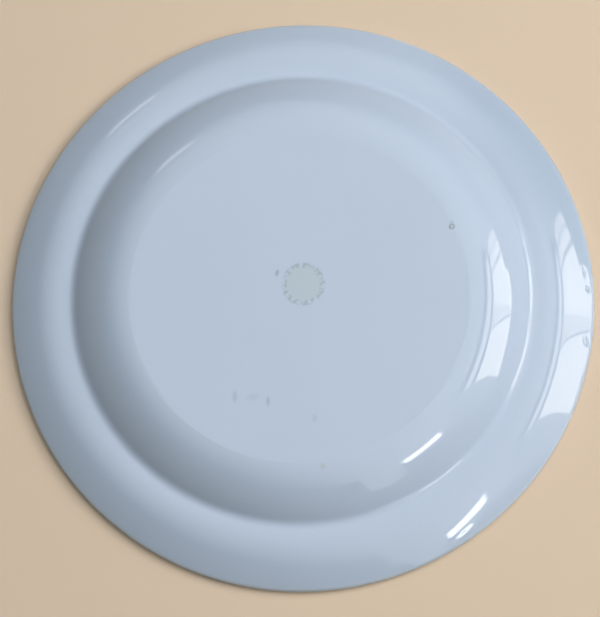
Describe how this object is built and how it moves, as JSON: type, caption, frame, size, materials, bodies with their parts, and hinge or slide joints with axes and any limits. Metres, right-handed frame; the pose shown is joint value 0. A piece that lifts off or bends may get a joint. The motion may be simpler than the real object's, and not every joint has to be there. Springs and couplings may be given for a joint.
{
  "type": "dinner plate",
  "caption": "Round glazed earthenware dinner plate with a broad rim and a flat back, lying face down on its lip.",
  "frame": {"origin": "on the plate's axis, on the table that the lip rests on, at the bottom of the part's box", "axes": "+Z out of the plate's flat back, along its axis; the plate lies face down, so its eating side looks along -Z; turn it half a turn about X for use"},
  "size_m": [0.254, 0.254, 0.0258],
  "materials": {
    "earthenware": "fired self-coloured clay, matt where bare",
    "glaze": "clear high gloss glaze over blue-grey clay",
    "mark_print": "pale green print under clear gloss glaze"
  },
  "bodies": {
    "root": {"clay_body": "earthenware", "back_glaze": "glaze", "face_glaze": "glaze", "printed_mark": "mark_print"}
  },
  "joints": []
}
